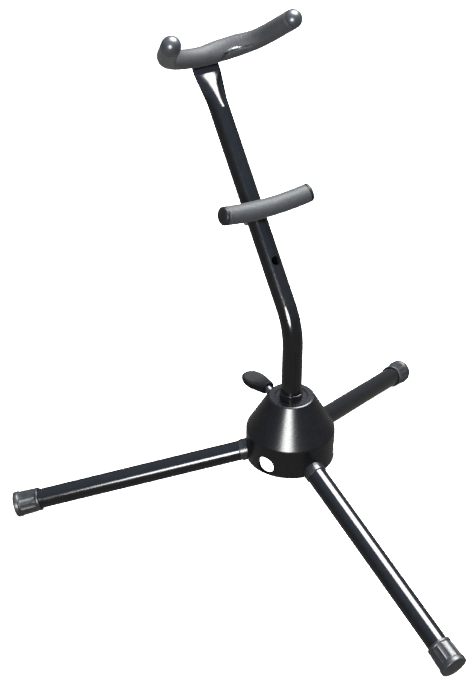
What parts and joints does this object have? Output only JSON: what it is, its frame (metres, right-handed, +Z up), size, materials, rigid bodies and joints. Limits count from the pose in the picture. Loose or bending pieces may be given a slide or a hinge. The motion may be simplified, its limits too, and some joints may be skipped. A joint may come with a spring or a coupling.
{
  "type": "wind instrument floor stand",
  "caption": "Knock-down floor stand with a conical hub, screw-in tube legs, a bent clamped upright, a foam rest bar and a foam U yoke for an instrument's bell.",
  "frame": {"origin": "on the floor, under the hub's axis", "axes": "+Z up; the front leg points along -Y; the upright leans towards +Y; the rest bar and the yoke lie along X"},
  "size_m": [0.4688, 0.4328, 0.4657],
  "materials": {
    "gloss_coat": "gloss black powder coat on steel",
    "hub_coat": "satin black coat on a casting",
    "cast_metal": "cast, painted black",
    "black_steel": "black, semi-gloss",
    "zinc_steel": "zinc plated",
    "moulded_plastic": "matt moulded",
    "gloss_plastic": "gloss moulded",
    "foam": "closed-cell foam tube, matt",
    "foot_rubber": "matt, lightly worn"
  },
  "bodies": {
    "hub": {"hub_shell": "hub_coat", "hub_core": "cast_metal", "core_screws": "zinc_steel", "wing_bolt_insert": "black_steel", "clamp_bush": "moulded_plastic"},
    "wing_stud": {"wing_bolt_stud": "zinc_steel"},
    "wing_head": {"wing_bolt_head": "moulded_plastic"},
    "upright": {"upright_tube": "gloss_coat", "upright_end_plug": "moulded_plastic", "rest_bar_saddle": "black_steel", "yoke_rod": "zinc_steel", "yoke_foam": "foam", "yoke_end_plug_left": "gloss_plastic", "yoke_end_plug_right": "gloss_plastic"},
    "rest_bar": {"rest_bar_rod": "zinc_steel", "rest_bar_foam": "foam", "rest_bar_end_plug_left": "moulded_plastic", "rest_bar_end_plug_right": "moulded_plastic"},
    "rest_washer": {"rest_bar_washer": "zinc_steel"},
    "rest_nut": {"rest_bar_nut": "zinc_steel"},
    "leg_plug_front": {"leg_plug_front": "black_steel"},
    "leg_front": {"leg_tube_front": "gloss_coat", "foot_front": "foot_rubber"},
    "leg_plug_right": {"leg_plug_right": "black_steel"},
    "leg_right": {"leg_tube_right": "gloss_coat", "foot_right": "foot_rubber"},
    "leg_plug_left": {"leg_plug_left": "black_steel"},
    "leg_left": {"leg_tube_left": "gloss_coat", "foot_left": "foot_rubber"}
  },
  "joints": [
    {"name": "wing_bolt_travel", "type": "slide", "parent": "hub", "child": "wing_stud", "axis": [0, 0.9781, 0.2079], "range_m": [0, 0.00374]},
    {"name": "wing_bolt_turn", "type": "hinge", "parent": "wing_stud", "child": "wing_head", "pos_m": [0, 0.03172, 0.1197], "axis": [0, 0.9781, 0.2079], "range_deg": [0, 1080]},
    {"name": "upright_swivel", "type": "hinge", "parent": "hub", "child": "upright", "pos_m": [0, 0, 0.12], "axis": [0, 0, 1], "continuous": true},
    {"name": "rest_bar_swivel", "type": "hinge", "parent": "upright", "child": "rest_bar", "pos_m": [0, 0.06768, 0.29653], "axis": [0, -0.7821, 0.6232], "range_deg": [-90, 90]},
    {"name": "rest_nut_travel", "type": "slide", "parent": "rest_bar", "child": "rest_washer", "axis": [0, 0.7821, -0.6232], "range_m": [0, 0.00374]},
    {"name": "rest_nut_turn", "type": "hinge", "parent": "rest_washer", "child": "rest_nut", "pos_m": [0, 0.07863, 0.28781], "axis": [0, 0.7821, -0.6232], "range_deg": [0, 1080]},
    {"name": "leg_front_travel", "type": "slide", "parent": "hub", "child": "leg_plug_front", "axis": [0, -0.9598, -0.2807], "range_m": [0, 0.01495]},
    {"name": "leg_front_turn", "type": "hinge", "parent": "leg_plug_front", "child": "leg_front", "pos_m": [0, -0.05759, 0.07176], "axis": [0, -0.9598, -0.2807], "range_deg": [0, 3600]},
    {"name": "leg_right_travel", "type": "slide", "parent": "hub", "child": "leg_plug_right", "axis": [0.8312, 0.4799, -0.2807], "range_m": [0, 0.01495]},
    {"name": "leg_right_turn", "type": "hinge", "parent": "leg_plug_right", "child": "leg_right", "pos_m": [0.04987, 0.02879, 0.07176], "axis": [0.8312, 0.4799, -0.2807], "range_deg": [0, 3600]},
    {"name": "leg_left_travel", "type": "slide", "parent": "hub", "child": "leg_plug_left", "axis": [-0.8312, 0.4799, -0.2807], "range_m": [0, 0.01495]},
    {"name": "leg_left_turn", "type": "hinge", "parent": "leg_plug_left", "child": "leg_left", "pos_m": [-0.04987, 0.02879, 0.07176], "axis": [-0.8312, 0.4799, -0.2807], "range_deg": [0, 3600]}
  ],
  "couplings": [
    {"joint": "wing_bolt_turn", "follows": "wing_bolt_travel", "rad_per_m": 5026.5},
    {"joint": "rest_nut_turn", "follows": "rest_nut_travel", "rad_per_m": 5026.5},
    {"joint": "leg_front_turn", "follows": "leg_front_travel", "rad_per_m": 4188.8},
    {"joint": "leg_right_turn", "follows": "leg_right_travel", "rad_per_m": 4188.8},
    {"joint": "leg_left_turn", "follows": "leg_left_travel", "rad_per_m": 4188.8}
  ]
}
